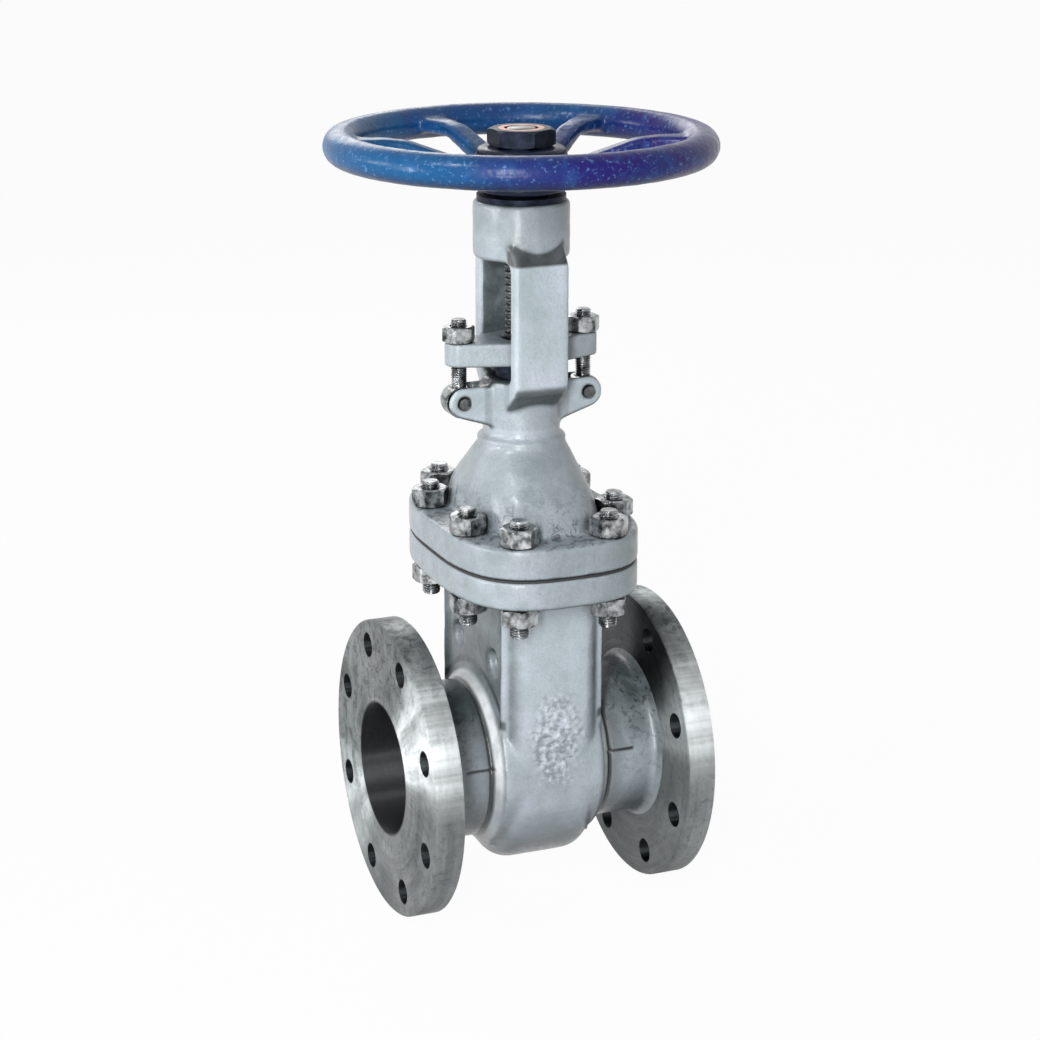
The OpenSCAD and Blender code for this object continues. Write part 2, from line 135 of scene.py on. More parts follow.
# Where the casting's lines and the rough ovals lie
ROOT_OUT = 48.5 * MM
NECK_TOP_Z = 75 * MM
PARTING_Z = 13.5 * MM
PARTING_FROM = 47 * MM
PARTING_TO = 68 * MM
PARTING_FADE = 2 * MM
PATCH_Z = 33 * MM
PATCH_WIDE = 24 * MM
PATCH_TALL = 40 * MM
PATCH_RELIEF = 0.7 * MM

MOST_TRIANGLES = 185_000
SHARP_ANGLE = math.radians(32)
FASTENER_SHARP_ANGLE = math.radians(28)

# ---------------------------------------------------------------- node materials


class Shader:
    """A Principled material, with short calls that add and join texture nodes in object space."""

    def __init__(self, name):
        self.mat = bpy.data.materials.new(name)
        self.mat.use_nodes = True
        self.tree = self.mat.node_tree
        self.bsdf = self.tree.nodes["Principled BSDF"]
        place = self.node("ShaderNodeTexCoord").outputs
        self.coord, self.normal = place["Object"], place["Normal"]

    def node(self, kind, inputs=None, **props):
        n = self.tree.nodes.new(kind)
        for key, value in props.items():
            setattr(n, key, value)
        for key, value in (inputs or {}).items():
            self.put(n.inputs[key], value)
        return n

    def put(self, socket, value):
        if isinstance(value, bpy.types.NodeSocket):
            self.tree.links.new(value, socket)
        else:
            socket.default_value = value

    def set(self, **values):
        for key, value in values.items():
            self.put(self.bsdf.inputs[key.replace("_", " ")], value)

    def math(self, operation, a, b=0.0, clamp=False):
        return self.node("ShaderNodeMath", {0: a, 1: b}, operation=operation, use_clamp=clamp).outputs[0]

    def plus(self, a, b):
        return self.math("ADD", a, b)

    def minus(self, a, b):
        return self.math("SUBTRACT", a, b)

    def times(self, first, *others):
        for other in others:
            first = self.math("MULTIPLY", first, other)
        return first

    def most(self, first, *others):
        """The largest of the values."""
        for other in others:
            first = self.math("MAXIMUM", first, other)
        return first

    def length(self, a, b):
        """The distance across two sides at right angles."""
        return self.math("SQRT", self.plus(self.times(a, a), self.times(b, b)))

    def axes(self, vector):
        return self.node("ShaderNodeSeparateXYZ", {0: vector}).outputs

    def join(self, x, y, z):
        return self.node("ShaderNodeCombineXYZ", {0: x, 1: y, 2: z}).outputs[0]

    def noise(self, scale, detail=4.0, rough=0.6, distortion=0.0, vector=None):
        return self.node(
            "ShaderNodeTexNoise",
            {"Vector": vector or self.coord, "Scale": scale, "Detail": detail,
             "Roughness": rough, "Distortion": distortion},
        ).outputs["Fac"]

    def span(self, value, low, high, out_low=0.0, out_high=1.0):
        """Value from low to high becomes out_low to out_high, held at both ends."""
        return self.node(
            "ShaderNodeMapRange", {0: value, 1: low, 2: high, 3: out_low, 4: out_high}
        ).outputs[0]

    def band(self, value, middle, half):
        """1 where value is near middle, 0 further than half from it, with soft sides."""
        return self.span(self.math("ABSOLUTE", self.minus(value, middle)), half, half * 0.4)

    def between(self, value, low, high, soft):
        """1 where value is from low to high, and 0 further out than soft."""
        return self.times(self.span(value, low - soft, low), self.span(value, high + soft, high))

    def mix(self, factor, a, b):
        n = self.node("ShaderNodeMix", data_type="RGBA")
        self.put(n.inputs[0], factor)
        self.put(n.inputs[6], a)
        self.put(n.inputs[7], b)
        return n.outputs[2]

    def bump(self, height, depth, normal=None, strength=1.0):
        n = self.node("ShaderNodeBump", {"Strength": strength, "Distance": depth, "Height": height})
        if normal is not None:
            self.put(n.inputs["Normal"], normal)
        return n.outputs[0]

    def round_edges(self, radius):
        return self.node("ShaderNodeBevel", {"Radius": radius}, samples=4).outputs[0]

    def crevice(self, reach):
        """0 in the open, 1 deep in a corner."""
        ao = self.node("ShaderNodeAmbientOcclusion", {"Distance": reach}, samples=4)
        return self.math("SUBTRACT", 1.0, ao.outputs["AO"], clamp=True)

    def from_stem(self):
        """x from the stem's axis, y, z, and the distance from that axis."""
        x, y, z = self.axes(self.coord)
        off = self.minus(x, AXIS_X)
        return off, y, z, self.length(off, y)

    def from_pipe(self):
        """Distance from the stem's plane, y, z, and the distance from the pipe's axis."""
        x, y, z = self.axes(self.coord)
        return self.math("ABSOLUTE", self.minus(x, AXIS_X)), y, z, self.length(y, z)


def rgb(r, g, b):
    return (r, g, b, 1.0)


# Tones laid over the paint and the steel, in this order: a darker film that also stands for painted shade, a
# painted highlight, black dirt that also stands for painted shadow, and painted shade in the steel's holes
# and corners.
FILM_AND_SHADE_TONE = rgb(0.075, 0.095, 0.10)
PAINTED_HIGHLIGHT_TONE = rgb(0.86, 0.89, 0.92)
DIRT_AND_SHADE_BLACK = rgb(0.010, 0.013, 0.014)
STEEL_SHADE = rgb(0.02, 0.025, 0.027)


def cast_paint(name, film_and_shade, dirt_and_shade=None, painted_highlight=None, edge=None):
    """Silver-grey paint on a sand casting: grain, soft blotches, painted shade on undersides and in the
    corners.

    Of the shader functions, the first gives the share of darker film that also stands for painted shade, the
    second of black dirt and painted shadow, and the third of painted highlight. edge is the radius that a
    sharp edge seems to have."""
    s = Shader(name)
    blotch = s.noise(26, 5, 0.6, 0.4)
    grain = s.noise(700, 3, 0.7)
    lumps = s.noise(170, 3, 0.6)
    tone = s.mix(s.span(blotch, 0.32, 0.68), rgb(0.345, 0.415, 0.43), rgb(0.505, 0.555, 0.63))
    tone = s.mix(s.span(grain, 0.45, 0.72, 0.0, 0.4), tone, rgb(0.24, 0.28, 0.29))
    upward = s.axes(s.normal)[2]
    # Painted shade: faces that look down darken towards near black.
    tone = s.mix(s.span(upward, -0.1, -0.65, 0.0, 0.92), tone, rgb(0.05, 0.06, 0.065))
    patchy = s.span(s.noise(60, 5, 0.65, 0.6), 0.25, 0.75, 0.55, 1.0)
    # Darker film at the share each mask gives, which in places stands for painted shade.
    tone = s.mix(s.times(film_and_shade(s), patchy), tone, FILM_AND_SHADE_TONE)
    if painted_highlight:
        # Painted highlight.
        tone = s.mix(painted_highlight(s), tone, PAINTED_HIGHLIGHT_TONE)
    if dirt_and_shade:
        # Black dirt, which in places stands for painted shadow.
        tone = s.mix(dirt_and_shade(s), tone, DIRT_AND_SHADE_BLACK)
    # Painted shade in corners and recesses.
    corner_shade = s.span(s.crevice(45 * MM), 0.35, 0.9, 0.0, 0.85)
    tone = s.mix(corner_shade, tone, rgb(0.03, 0.038, 0.04))
    s.set(Base_Color=tone, Specular_IOR_Level=0.4, Coat_Weight=0.5, Coat_Roughness=0.24)
    s.set(Roughness=s.span(lumps, 0.3, 0.7, 0.32, 0.50))
    height = s.plus(s.times(grain, 0.35), lumps)
    s.set(Normal=s.bump(height, 1.0 * MM, s.round_edges(edge) if edge else None, 0.6))
    return s.mat


# The same share of the darker film tone everywhere.
def even_film_and_shade(share):
    return lambda s: share


def body_film_and_shade(s):
    """Darker film with painted shade high on the necks, painted shade on the chamber's sides where the
    flanges shade them, darker towards the bottom, and a little darker on the flange.
    """
    out, _, z, _ = s.from_pipe()
    height = s.span(z, 8 * MM, 58 * MM, 0.45, 1.3)
    # Darker film with painted shade on the necks, where the chamber and the flanges shade them.
    neck = s.times(s.span(out, BOSS_OUT, BOSS_OUT + 5 * MM), height, s.span(z, 100 * MM, 60 * MM))
    sideways = s.math("ABSOLUTE", s.axes(s.normal)[0])
    # Painted shade on the chamber's sides, where the flanges shade them.
    sides = s.times(
        s.span(sideways, 0.2, 0.7, 0.0, 0.9),
        s.span(z, BODY_FLANGE_LOW, BODY_FLANGE_LOW - 4 * MM),
        s.span(z, -50 * MM, -10 * MM, 0.2, 1.0),
    )
    flange = s.span(z, BODY_FLANGE_LOW - 2 * MM, BODY_FLANGE_LOW + 2 * MM, 0.0, 0.48)
    # Darker towards the bottom.
    front = s.span(z, 45 * MM, 5 * MM, 0.0, 0.32)
    return s.most(neck, front, sides, flange)


def below_bosses(s, z):
    """1 as high as the necks and the seat bosses reach."""
    return s.span(z, NECK_TOP_Z + 15 * MM, NECK_TOP_Z - 15 * MM)


def patch_place(s, out, y, z):
    """The rough oval in the middle of the chamber's near and far sides."""
    high = s.math("DIVIDE", s.minus(z, PATCH_Z), PATCH_TALL)
    wide = s.math("DIVIDE", out, PATCH_WIDE)
    wander = s.span(s.noise(80, 3, 0.6), 0.3, 0.7, -0.2, 0.2)
    off = s.plus(s.length(high, wide), wander)
    side = s.span(s.math("ABSOLUTE", y), CHAMBER_INNER_Y - 4 * MM, CHAMBER_INNER_Y)
    return s.times(s.span(off, 1.1, 0.6), side)


def body_dirt_and_shade(s):
    """Painted shade in and beside the necks' roots, round the bosses' feet, under the parting lines and under
    the flange, painted shade in specks on the rough ovals, and dirt in spots on the necks.
    """
    out, y, z, radius = s.from_pipe()
    low = below_bosses(s, z)
    wander = s.span(s.noise(45, 2, 0.5), 0.0, 1.0, -0.8 * MM, 0.8 * MM)
    near = s.plus(out, wander)
    # Painted shade in each neck's root groove, fading out along the neck beside it.
    beyond = s.times(s.span(near, 46 * MM, 47 * MM), s.span(near, 47 * MM, 64 * MM, 0.6, 0.0))
    root = s.most(s.band(near, ROOT_OUT + 0.6 * MM, 2.9 * MM), beyond)
    # Painted shadow round the foot of each seat boss.
    foot = s.times(s.band(radius, BOSS_R + 2.5 * MM, 3.2 * MM), s.span(out, 36 * MM, 38.5 * MM, 0.0, 0.85))
    # Painted shadow under each parting line.
    under = s.times(
        s.band(s.plus(z, wander), PARTING_Z - 2 * MM, 2.0 * MM),
        s.between(out, PARTING_FROM, PARTING_TO, PARTING_FADE),
    )
    lines = s.times(s.most(root, foot, under), low, 0.97)
    flange = BODY_FLANGE_LOW
    # Painted shadow under the body flange.
    shadow = s.times(
        s.span(z, flange - 13 * MM, flange - 2 * MM),
        s.span(z, flange + 2 * MM, flange),
        s.span(s.noise(70, 4, 0.65), 0.3, 0.65, 0.25, 0.9),
    )
    # Painted shade in specks on the rough ovals, as the shading of their relief.
    specks = s.times(patch_place(s, out, y, z), s.span(s.noise(250, 2, 0.5), 0.5, 0.60, 0.0, 0.36))
    spots = s.times(
        s.span(s.noise(150, 4, 0.7, 0.8), 0.53, 0.62, 0.0, 0.8),
        s.span(out, 49 * MM, 52 * MM),
        low,
        s.span(z, 12 * MM, 45 * MM, 0.25, 1.0),
    )
    return s.most(lines, shadow, specks, spots)


def body_highlights(s):
    """Painted highlight on the seat bosses' crests, and painted highlight flecks on the rough ovals."""
    out, y, z, radius = s.from_pipe()
    # Painted highlight on each seat boss's crest.
    crest = s.times(
        s.band(out, BOSS_OUT, 3.6 * MM),
        s.span(radius, BOSS_R + 1 * MM, BOSS_R - 1 * MM),
        below_bosses(s, z),
        s.span(s.noise(90, 4, 0.6), 0.3, 0.6, 0.55, 0.95),
        s.span(z, -25 * MM, 15 * MM, 0.3, 1.0),
    )
    # Painted highlight flecks on the rough ovals, as the lit sides of their relief.
    flecks = s.times(patch_place(s, out, y, z), s.span(s.noise(250, 2, 0.5), 0.44, 0.36, 0.0, 0.35))
    return s.most(crest, flecks)


def bonnet_film_and_shade(s):
    """Painted shade on the yoke's faces that look at the stem, where the arms shade each other, and a little
    darkening on the flange, dome, neck and head.
    """
    off, y, z, radius = s.from_stem()
    nx, ny, _ = s.axes(s.normal)
    outward = s.math("DIVIDE", s.plus(s.times(off, nx), s.times(y, ny)), radius)
    # Painted shade on the yoke's faces that look at the stem, where the arms shade each other.
    window = s.times(s.span(outward, -0.4, -0.7), s.span(z, DOME_TOP, DOME_TOP + 8 * MM), 1.15)
    dome = s.times(
        s.span(z, DOME_TOP + 10 * MM, DOME_TOP - 10 * MM),
        s.span(z, BONNET_TOP, BONNET_TOP + 4 * MM),
        0.5,
    )
    flange = s.span(z, BONNET_TOP + 4 * MM, BONNET_TOP - 1 * MM, 0.0, 0.56)
    neck = s.times(
        s.span(z, DOME_TOP - 2 * MM, DOME_TOP + 2 * MM, 0.0, 0.42),
        s.span(radius, 37 * MM, 35 * MM),
    )
    head = s.span(z, HEAD_Z - 2 * MM, HEAD_Z, 0.0, 0.5)
    return s.most(window, dome, flange, neck, head)


def bonnet_dirt_and_shade(s):
    """Painted shadow of the handwheel on the yoke arms' sloping tops, painted shade under the arms' feet and
    on the stuffing box under the gland plate, and dirt in spots round the studs.
    """
    _, _, z, radius = s.from_stem()
    upward = s.axes(s.normal)[2]
    up, down = s.span(upward, 0.3, 0.6), s.span(upward, -0.2, -0.45)
    # Painted shadow of the handwheel on the arms' sloping tops.
    facet = s.times(s.span(radius, HEAD_R - 0.1 * MM, HEAD_R + 0.5 * MM), s.span(z, HEAD_Z - 2 * MM, HEAD_Z))
    # Painted shade on the stuffing box's upward faces under the gland plate.
    box = s.times(
        up,
        s.span(radius, 36 * MM, 32 * MM),
        s.span(z, 285 * MM, 290 * MM),
        s.span(z, ARM_FOOT_TOP + 5 * MM, ARM_FOOT_TOP),
    )
    tops = s.times(s.most(facet, box), s.span(s.noise(60, 5, 0.65, 0.6), 0.25, 0.75, 0.76, 0.95))
    skirt = s.times(s.span(z, BONNET_TOP - 2 * MM, BONNET_TOP), s.span(z, BONNET_TOP + 34 * MM, BONNET_TOP))
    spots = s.times(s.span(s.noise(150, 4, 0.7, 0.8), 0.51, 0.6, 0.0, 0.75), skirt)
    # Painted shade under the arms' feet.
    feet = s.times(
        down,
        s.span(z, ARM_FOOT_TOP, ARM_FOOT_TOP - 5 * MM),
        s.span(radius, 29 * MM, 31 * MM, 0.0, 0.45),
    )
    return s.most(tops, spots, feet)


def bolt_hole_walls(s, radius, angle):
    """1 in the pipe flanges' bolt holes."""
    step = 2 * math.pi / BOLT_COUNT
    turn = s.minus(s.math("MODULO", s.plus(angle, 2 * math.pi), step), step / 2)
    along = s.minus(s.times(radius, s.math("COSINE", turn)), BOLT_CIRCLE_R)
    aside = s.times(radius, s.math("SINE", turn))
    return s.span(s.length(along, aside), BOLT_HOLE_R + 0.7 * MM, BOLT_HOLE_R + 0.1 * MM)


def turned_steel(name):
    """Steel turned about the pipe's axis: rings from the cuts, dark patches that grow towards the top, a
    painted highlight on the near side, and painted shade on the flanges' backs, in the bore, in the bolt
    holes and in the corners.
    """
    s = Shader(name)
    x, y, z = s.axes(s.coord)
    radius = s.length(y, z)
    angle = s.math("ARCTAN2", z, y)
    turned = s.join(x, radius, s.times(angle, 0.004))
    lines = s.noise(900, 3, 0.6, vector=turned)
    bands = s.noise(120, 3, 0.6, vector=turned)
    tone = s.mix(s.span(bands, 0.35, 0.7), rgb(0.27, 0.29, 0.292), rgb(0.39, 0.41, 0.415))

    # Blotches and dark patches grow darker towards the top.
    high = s.span(s.plus(z, s.times(y, 0.6)), -30 * MM, 50 * MM)
    blotch = s.span(s.noise(34, 5, 0.65, 0.5), 0.42, 0.66, 0.0, s.plus(s.times(high, 0.45), 0.3))
    specks = s.span(s.noise(210, 4, 0.65), 0.53, 0.66, 0.0, 0.35)
    dark_patches = s.times(s.span(s.noise(100, 4, 0.7, 0.6), 0.52, 0.6), s.span(high, 0.0, 1.0, 0.15, 0.62))
    tone = s.mix(blotch, tone, rgb(0.12, 0.14, 0.135))
    tone = s.mix(specks, tone, rgb(0.07, 0.085, 0.08))
    tone = s.mix(dark_patches, tone, rgb(0.06, 0.072, 0.07))

    near_side = s.math("ARCTAN2", z, s.times(y, -1.0))
    sweep = s.join(s.math("COSINE", near_side), s.math("SINE", near_side), s.times(radius, 4.0))
    outward = s.times(s.minus(x, AXIS_X), s.axes(s.normal)[0])
    # Painted highlight on the near side of the face and the rim.
    painted_highlight = s.times(
        s.band(near_side, 0.52, 0.62),
        s.span(s.noise(7, 4, 0.7, vector=sweep), 0.35, 0.62, 0.25, 1.0),
        s.span(outward, -60 * MM, -25 * MM, 0.0, 0.60),
    )
    tone = s.mix(painted_highlight, tone, rgb(0.80, 0.83, 0.84))
    # Painted shade on the flanges' backs, which face the chamber, stronger towards the top.
    back = s.span(outward, -55 * MM, -80 * MM, 0.0, s.plus(s.times(high, 0.5), 0.3))
    tone = s.mix(back, tone, rgb(0.03, 0.036, 0.038))
    # Painted shade in the bore.
    tone = s.mix(s.span(radius, PORT_R + 2 * MM, PORT_R + 0.5 * MM, 0.0, 0.95), tone, rgb(0.04, 0.043, 0.045))
    # Painted shade in the bolt holes and in the corners.
    tone = s.mix(s.times(bolt_hole_walls(s, radius, angle), 0.93), tone, STEEL_SHADE)
    tone = s.mix(s.span(s.crevice(70 * MM), 0.3, 0.85, 0.0, 0.9), tone, STEEL_SHADE)

    s.set(Base_Color=tone, Metallic=0.92, Anisotropic=1.0, Anisotropic_Rotation=0.25)
    s.set(Tangent=s.node("ShaderNodeTangent", direction_type="RADIAL", axis="X").outputs[0])
    s.set(Roughness=s.span(lines, 0.3, 0.7, 0.44, 0.6))
    s.set(Normal=s.bump(lines, 0.12 * MM, s.round_edges(0.8 * MM), 0.5))
    return s.mat


def plated_steel(name, low, high, roughness, metallic=0.95, specular=0.5):
    """Metal of fasteners and trim: mottled between two tones, with a little painted shade in the corners."""
    s = Shader(name)
    blotch = s.noise(140, 4, 0.6)
    fine = s.noise(900, 3, 0.6)
    tone = s.mix(s.span(blotch, 0.35, 0.65), rgb(*low), rgb(*high))
    # Painted shade in the corners.
    corner_shade = s.span(s.crevice(9 * MM), 0.3, 0.85, 0.0, 0.95)
    tone = s.mix(corner_shade, tone, rgb(0.02, 0.024, 0.03))
    s.set(Base_Color=tone, Metallic=metallic, Specular_IOR_Level=specular)
    s.set(Roughness=s.span(blotch, 0.3, 0.7, roughness - 0.07, roughness + 0.1))
    s.set(Normal=s.bump(fine, 0.1 * MM, s.round_edges(0.4 * MM), 0.5))
    return s.mat


def wheel_paint(name):
    """Thick blue enamel, bluer and lighter on one side and more violet and darker on the other as painted
    light and shade, with flecks where it is chipped, painted shade in corners and on undersides, and near
    black towards the hub.
    """
    s = Shader(name)
    sweep = s.noise(9, 3, 0.5, 0.3)
    streak = s.noise(60, 5, 0.65, 1.0)
    fleck = s.noise(300, 4, 0.65)
    peel = s.noise(240, 2, 0.5)
    off, y, _, radius = s.from_stem()
    across = s.minus(off, s.times(y, 0.4))
    # Painted light and shade: bluer and lighter to the left, darker and more violet to the right, with a
    # random sweep.
    side = s.plus(sweep, s.span(across, -150 * MM, 150 * MM, -0.3, 0.3))
    tone = s.mix(s.span(side, 0.32, 0.68), rgb(0.004, 0.075, 0.20), rgb(0.010, 0.006, 0.12))
    tone = s.mix(s.span(streak, 0.5, 0.72, 0.0, 0.5), tone, rgb(0.02, 0.10, 0.30))
    tone = s.mix(s.span(fleck, 0.58, 0.68, 0.0, 0.6), tone, rgb(0.14, 0.28, 0.52))
    # Painted shade in the corners.
    tone = s.mix(s.span(s.crevice(9 * MM), 0.4, 0.95, 0.0, 0.9), tone, rgb(0.008, 0.01, 0.04))
    upward = s.axes(s.normal)[2]
    # Painted shade on undersides.
    tone = s.mix(s.span(upward, -0.3, -0.9, 0.0, 0.8), tone, rgb(0.006, 0.008, 0.03))
    # Near black towards the hub.
    tone = s.mix(s.span(radius, 62 * MM, 42 * MM, 0.0, 0.95), tone, rgb(0.002, 0.003, 0.012))
    s.set(Base_Color=tone, Specular_IOR_Level=0.2, Coat_Weight=0.08, Coat_Roughness=0.15)
    s.set(Roughness=s.span(streak, 0.3, 0.7, 0.22, 0.42))
    s.set(Normal=s.bump(s.plus(peel, s.times(fleck, 0.4)), 0.5 * MM, None, 0.5))
    return s.mat


def graphite(name):
    s = Shader(name)
    fibre = s.noise(700, 4, 0.7)
    s.set(Base_Color=s.mix(fibre, rgb(0.012, 0.012, 0.014), rgb(0.05, 0.05, 0.052)), Roughness=0.75)
    s.set(Normal=s.bump(fibre, 0.2 * MM))
    return s.mat


CAST_GLAND = cast_paint("cast_silver_paint", even_film_and_shade(0.42))
CAST_BODY = cast_paint("cast_body_paint", body_film_and_shade, body_dirt_and_shade, body_highlights)
CAST_BONNET = cast_paint("cast_bonnet_paint", bonnet_film_and_shade, bonnet_dirt_and_shade)
# The chamber's inner walls are darkened all over.
CAST_INNER = cast_paint("cast_inner_walls", even_film_and_shade(1.0))
CAST_PLATE = cast_paint("cast_plate_paint", even_film_and_shade(0.4), edge=1.0 * MM)
TURNED = turned_steel("turned_flange_steel")
TRIM = plated_steel("trim_steel", (0.42, 0.42, 0.41), (0.66, 0.66, 0.64), 0.28)
BRIGHT = plated_steel("bright_fasteners", (0.03, 0.034, 0.034), (0.50, 0.52, 0.53), 0.25)
OILY = plated_steel("oily_steel", (0.04, 0.045, 0.045), (0.20, 0.21, 0.21), 0.3)
DARK = plated_steel(
    "black_steel", (0.005, 0.007, 0.014), (0.020, 0.025, 0.044), 0.42, metallic=0.6, specular=0.12
)
BRONZE = plated_steel("bronze", (0.30, 0.14, 0.11), (0.55, 0.30, 0.25), 0.38)
BLUE = wheel_paint("blue_enamel")
GRAPHITE = graphite("graphite")

SLOT_MATERIAL = {
    "casting": CAST_PLATE, "trim_steel": TRIM, "bright_steel": BRIGHT, "dark_steel": DARK,
    "bronze": BRONZE, "graphite": GRAPHITE, "blue_paint": BLUE,
}
# The gland follower takes the black steel as painted shade, since it sits in shade under the gland plate.
NODE_MATERIAL = {"eyebolt_pin_inlet": OILY, "eyebolt_pin_outlet": OILY, "gland_follower": DARK}


def dress(mesh, material, sharp=SHARP_ANGLE):
    """Gives a mesh one material and smooth faces, and makes its edges sharp where they turn further."""
    mesh.materials.clear()
    mesh.materials.append(material)
    mesh.shade_smooth()
    mesh.set_sharp_from_angle(angle=sharp)


for part in frame["record"]["subparts"]:
    node = part["node"]
    dress(nodes[node].data, NODE_MATERIAL.get(node, SLOT_MATERIAL[part["material_slot"]]))

# ---------------------------------------------------------------- mesh helpers


def add_piece(name, mesh, body, replaced):
    """A finished mesh becomes a named piece that rides on a body and stands for CAD nodes."""
    obj = bpy.data.objects.new(name, mesh)
    bpy.context.scene.collection.objects.link(obj)
    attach(obj, body)
    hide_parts(*replaced)
    return obj


def node_bmesh(node):
    bm = bmesh.new()
    bm.from_mesh(nodes[node].data)
    bmesh.ops.remove_doubles(bm, verts=bm.verts, dist=1e-6)
    return bm


def to_mesh(name, bm):
    mesh = bpy.data.meshes.new(name)
    bm.to_mesh(mesh)
    bm.free()
    return mesh


def cut(bm, point, keep_side):
    """Keeps what lies on keep_side of the plane through point, and leaves the cut open."""
    geometry = bm.verts[:] + bm.edges[:] + bm.faces[:]
    bmesh.ops.bisect_plane(bm, geom=geometry, plane_co=point, plane_no=keep_side, clear_inner=True)


def open_edges(bm):
    return [e for e in bm.edges if e.is_boundary]


def positions(mesh):
    co = np.empty(len(mesh.vertices) * 3)
    mesh.vertices.foreach_get("co", co)
    return co.reshape(-1, 3)


def move_to(mesh, co):
    mesh.vertices.foreach_set("co", co.ravel())
    mesh.update()


def displace(mesh, *changes):
    """Each change(co) moves the mesh's points in turn."""
    co = positions(mesh)
    for change in changes:
        change(co)
    move_to(mesh, co)


def rough(points, scale, second_scale, second_share):
    """Smooth noise at each point, with a share of a second one."""
    return np.array([
        noise.noise(Vector(c) * scale) + second_share * noise.noise(Vector(c) * second_scale)
        for c in points
    ])


def hump(value, middle, half):
    return np.exp(-(((value - middle) / half) ** 2))


# ---------------------------------------------------------------- castings


def voxel_skin(bm, voxel):
    """One even skin round everything that the closed meshes in bm hold."""
    mesh = to_mesh("skin", bm)
    obj = bpy.data.objects.new("skin", mesh)
    bpy.context.scene.collection.objects.link(obj)
    remesh = obj.modifiers.new("skin", "REMESH")
    remesh.mode = "VOXEL"
    remesh.voxel_size = voxel
    evaluated = obj.evaluated_get(bpy.context.evaluated_depsgraph_get())
    skin = bpy.data.meshes.new_from_object(evaluated)
    bpy.data.objects.remove(obj)
    bpy.data.meshes.remove(mesh)
    skin.materials.clear()
    return skin


def relax(mesh, steps, weight, dent):
    """Rounds corners, fills roots and dents the skin as sand casting does, by weight(co) at each point."""
    co = positions(mesh)
    edges = np.empty(len(mesh.edges) * 2, int)
    mesh.edges.foreach_get("vertices", edges)
    a, b = edges.reshape(-1, 2).T
    count = np.bincount(a, minlength=len(co)) + np.bincount(b, minlength=len(co))
    hold = weight(co)[:, None]
    for _ in range(steps):
        mean = np.empty_like(co)
        for axis in range(3):
            total = np.bincount(a, co[b, axis], len(co)) + np.bincount(b, co[a, axis], len(co))
            mean[:, axis] = total / count
        co += hold * (mean - co)
    move_to(mesh, co)
    normals = np.empty(len(co) * 3)
    mesh.vertices.foreach_get("normal", normals)
    dents = np.minimum(dent * (rough(co, 90, 260, 0.6) - 0.6), 0)
    co += hold * dents[:, None] * normals.reshape(-1, 3)
    move_to(mesh, co)


def casting(name, source, material, body, replaced, voxel, steps, weight, dent):
    """The frame's closed shape becomes a named piece with a cast skin."""
    mesh = voxel_skin(source, voxel)
    relax(mesh, steps, weight, dent)
    mesh.shade_smooth()
    mesh.materials.append(material)
    return add_piece(name, mesh, body, [replaced])


def everywhere(amount):
    return lambda co: np.full(len(co), amount)


def bonnet_weight(co):
    """Little on the machined joint face, more on the flange, most on the dome and the yoke."""
    heights = [BONNET_TOP - 24 * MM, BONNET_TOP - 17 * MM, BONNET_TOP - 2 * MM, BONNET_TOP + 2 * MM]
    return np.interp(co[:, 2], heights, [0.12, 0.35, 0.35, 0.62])


def body_weight(co):
    """Little on the machined joint face, most on the chamber and the necks."""
    heights = [JOINT_Z - 24 * MM, JOINT_Z - 18 * MM, JOINT_Z - 3 * MM, JOINT_Z]
    return np.interp(co[:, 2], heights, [0.62, 0.4, 0.35, 0.12])


def inside_body(co):
    """Is a point on the bore or on the chamber's inner wall?"""
    x, y, z = co
    out = abs(x - AXIS_X)
    below = math.hypot(y, min(z + CHAMBER_DROP, 0))
    chamber = out < SEAT_FLOOR_X and abs(y) < CHAMBER_INNER_Y and below < CHAMBER_INNER_Y
    return chamber or math.hypot(y, z) < SEAT_RING_R


def body_middle():
    """The body between its pipe flanges, closed and without its hollows, with feet that reach into them."""
    bm = node_bmesh("body")
    foot = 6 * MM
    for x, side in ((FLANGE_T + SEAM, 1), (PIPE_LENGTH - FLANGE_T - SEAM, -1)):
        cut(bm, (x, 0, 0), (side, 0, 0))
    inner = [f for f in bm.faces if all(inside_body(v.co) for v in f.verts)]
    bmesh.ops.delete(bm, geom=inner, context="FACES")
    ends = bmesh.ops.holes_fill(bm, edges=open_edges(bm), sides=0)["faces"]
    for face in ends:
        middle = face.calc_center_median()
        if abs(middle.z) > JOINT_Z / 2:
            continue
        grown = bmesh.ops.extrude_face_region(bm, geom=[face])["geom"]
        moved = [v for v in grown if isinstance(v, bmesh.types.BMVert)]
        bmesh.ops.translate(bm, verts=moved, vec=(-foot if middle.x < AXIS_X else foot, 0, 0))
        if face.is_valid:
            bm.faces.remove(face)
    bmesh.ops.recalc_face_normals(bm, faces=bm.faces)
    return bm


def in_opening(co):
    """Is a point of the core on one of its closed ends, or on the chamber's mouth at the bonnet joint?"""
    out, side = abs(co.x - AXIS_X), abs(co.y)
    end = out > AXIS_X - FLANGE_T + 2 * MM and math.hypot(side, co.z) < NECK_R - 3 * MM
    corner = math.hypot(max(out - MOUTH_X + MOUTH_EDGE_R, 0), max(side - CHAMBER_INNER_Y + MOUTH_EDGE_R, 0))
    return end or (co.z > JOINT_Z - 3 * MM and corner < MOUTH_EDGE_R)


def open_core(mesh):
    """Opens the core's ends and its mouth, so that the bore shows the wedge and the wedge can rise."""
    bm = bmesh.new()
    bm.from_mesh(mesh)
    closed = [f for f in bm.faces if all(in_opening(v.co) for v in f.verts)]
    bmesh.ops.delete(bm, geom=closed, context="FACES")
    bm.to_mesh(mesh)
    bm.free()


